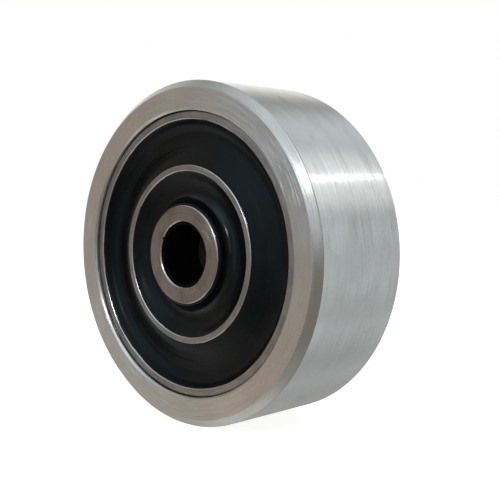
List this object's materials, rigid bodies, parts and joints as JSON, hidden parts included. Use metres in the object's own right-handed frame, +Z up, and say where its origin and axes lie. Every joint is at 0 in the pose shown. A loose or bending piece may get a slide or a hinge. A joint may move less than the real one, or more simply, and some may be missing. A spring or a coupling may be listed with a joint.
{
  "type": "seam roller",
  "caption": "Round turned metal roller on a laminated rubber and steel bush, with plain bearing liners in its axle bore.",
  "frame": {"origin": "the roller's centre: on the axle axis, halfway across its width", "axes": "+Y along the axle from the front side to the rear side, +X forwards, the way the roller travels, +Z up"},
  "size_m": [0.105, 0.041, 0.105],
  "materials": {
    "turned_aluminium": "fine turned, satin, grooves running round the axis",
    "sleeve_steel": "cut and faced steel sleeve, dull grey with bright edges",
    "tube_steel": "faced steel tube, grey with bright edge breaks",
    "bonded_rubber": "moulded black rubber, satin sheen",
    "liner_plastic": "moulded black dry-running plastic, matt"
  },
  "bodies": {
    "hub": {"axle_tube": "tube_steel", "front_liner": "liner_plastic", "rear_liner": "liner_plastic", "inner_rubber": "bonded_rubber"},
    "middle": {"middle_sleeve": "sleeve_steel", "outer_rubber": "bonded_rubber"},
    "rim": {"outer_sleeve": "sleeve_steel", "roller_rim": "turned_aluminium"}
  },
  "joints": [
    {"name": "rubber_twist", "type": "hinge", "parent": "hub", "child": "middle", "pos_m": [0, 0, 0], "axis": [0, 1, 0], "range_deg": [-10, 10], "stiffness_Nm_per_rad": 94, "deforming": ["inner_rubber"]},
    {"name": "rubber_tilt", "type": "hinge", "parent": "middle", "child": "rim", "pos_m": [0, 0, 0], "axis": [1, 0, 0], "range_deg": [-3, 3], "stiffness_Nm_per_rad": 180, "deforming": ["outer_rubber"]}
  ]
}
